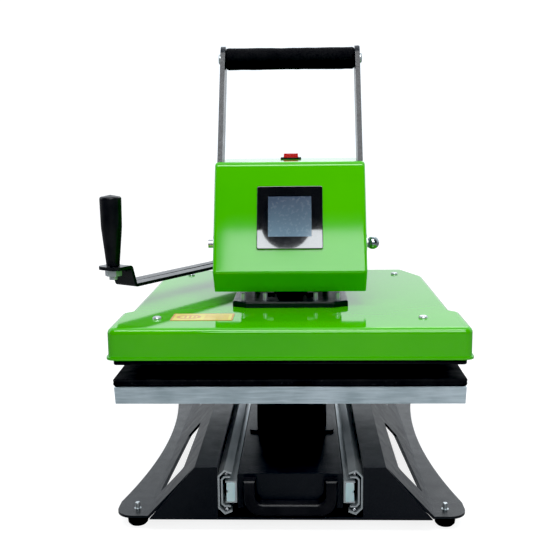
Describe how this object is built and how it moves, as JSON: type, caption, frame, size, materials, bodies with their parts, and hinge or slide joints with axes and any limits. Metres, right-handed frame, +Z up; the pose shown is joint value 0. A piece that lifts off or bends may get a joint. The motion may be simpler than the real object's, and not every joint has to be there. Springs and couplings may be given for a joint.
{
  "type": "swing-away heat press with pull-out platen",
  "caption": "Tabletop press: a heated head on a swinging arm, lowered by a U-shaped lever, over a padded platen that slides out on drawer rails.",
  "frame": {"origin": "centre of the four-foot pattern, on the table plane", "axes": "+X to the operator's right, +Y away from the operator, +Z up"},
  "size_m": [0.421, 0.5395, 0.547],
  "materials": {
    "green_enamel": "gloss powder coat",
    "black_texture": "orange-peel powder coat",
    "black_satin": "satin paint",
    "zinc": "bright zinc plate",
    "chrome_nuts": "polished",
    "bright_steel": "ground",
    "bronze": "sintered bronze",
    "spring_steel": "oiled spring wire",
    "aluminium_plate": "satin milled",
    "dark_platen": "dark non-stick coating",
    "silicone": "matt silicone",
    "foam": "closed-cell foam",
    "feet_rubber": "matt",
    "black_plastic": "moulded",
    "black_gloss": "gloss",
    "screen": "clear screen over a dim panel",
    "red_plastic": "translucent red",
    "pale_plastic": "moulded nylon",
    "circuit": "solder mask",
    "element": "heat tinted",
    "wool": "glass wool blanket",
    "yellow_label": "printed vinyl"
  },
  "bodies": {
    "base": {"base_side_left": "black_texture", "base_side_right": "black_texture", "base_floor": "black_texture", "front_plate": "black_texture", "rear_panel": "black_texture", "power_inlet": "black_plastic", "column_bridge": "black_texture", "rubber_feet": "feet_rubber", "foot_bolts": "zinc", "outer_rails": "zinc", "outer_balls": "bright_steel", "column": "black_satin", "anchor_bolts": "zinc", "thrust_collar": "black_satin", "column_cap": "black_plastic"},
    "slide_middle": {"middle_rails": "zinc", "inner_balls": "bright_steel"},
    "drawer": {"inner_rails": "zinc", "rail_bumpers": "pale_plastic", "carriage": "black_texture", "pull_handle": "black_plastic", "pedestal": "black_texture", "lower_platen": "aluminium_plate", "silicone_pad": "silicone"},
    "swing_arm": {"arm_hub": "black_satin", "arm_beam": "black_satin", "head_side_plates": "black_satin", "shaft_bushes": "bronze", "guide_plate": "black_satin", "guide_bushes": "bronze", "return_springs": "spring_steel", "swing_bar": "black_satin", "bar_screws": "zinc", "grip_bolt": "zinc"},
    "crank_grip": {"crank_grip": "black_plastic"},
    "lever": {"pivot_shaft": "bright_steel", "acorn_nuts": "chrome_nuts", "hood_washers": "zinc", "lever_arms": "black_satin", "handle_rod": "zinc", "foam_grip": "foam", "grip_bolts": "zinc", "hood": "green_enamel", "screen_bezel": "black_gloss", "display": "screen", "control_board": "circuit", "switch_flange": "black_plastic", "cam_plates": "bright_steel"},
    "rocker": {"rocker_switch": "red_plastic"},
    "heat_head": {"heat_platen": "dark_platen", "heating_element": "element", "insulation": "wool", "head_cover": "green_enamel", "cover_screws": "zinc", "caution_label": "yellow_label", "press_plate": "black_texture", "press_studs": "zinc", "guide_posts": "bright_steel", "follower_bracket": "black_satin", "follower_pin": "bright_steel"}
  },
  "joints": [
    {"name": "drawer_slide", "type": "slide", "parent": "base", "child": "drawer", "axis": [0, -1, 0], "range_m": [0, 0.26]},
    {"name": "middle_slide", "type": "slide", "parent": "base", "child": "slide_middle", "axis": [0, -1, 0], "range_m": [0, 0.13]},
    {"name": "arm_swing", "type": "hinge", "parent": "base", "child": "swing_arm", "pos_m": [0, 0.178, 0.302], "axis": [0, 0, 1], "range_deg": [-90, 0]},
    {"name": "grip_spin", "type": "hinge", "parent": "swing_arm", "child": "crank_grip", "pos_m": [-0.20759, -0.16229, 0.285], "axis": [0, 0, 1], "continuous": true},
    {"name": "lever_turn", "type": "hinge", "parent": "swing_arm", "child": "lever", "pos_m": [0, -0.132, 0.3067], "axis": [1, 0, 0], "range_deg": [0, 35]},
    {"name": "head_press", "type": "slide", "parent": "swing_arm", "child": "heat_head", "axis": [0, 0, -1], "range_m": [0, 0.0143], "stiffness_N_per_m": 13000, "springref_m": -0.012, "deforming": ["return_springs"]},
    {"name": "power_rocker", "type": "hinge", "parent": "lever", "child": "rocker", "pos_m": [0, 0, 0.4025], "axis": [1, 0, 0], "range_deg": [0, 14]}
  ],
  "couplings": [
    {"joint": "middle_slide", "follows": "drawer_slide", "ratio": 0.5},
    {"joint": "head_press", "follows": "lever_turn", "m_per_rad": 0.0234}
  ]
}
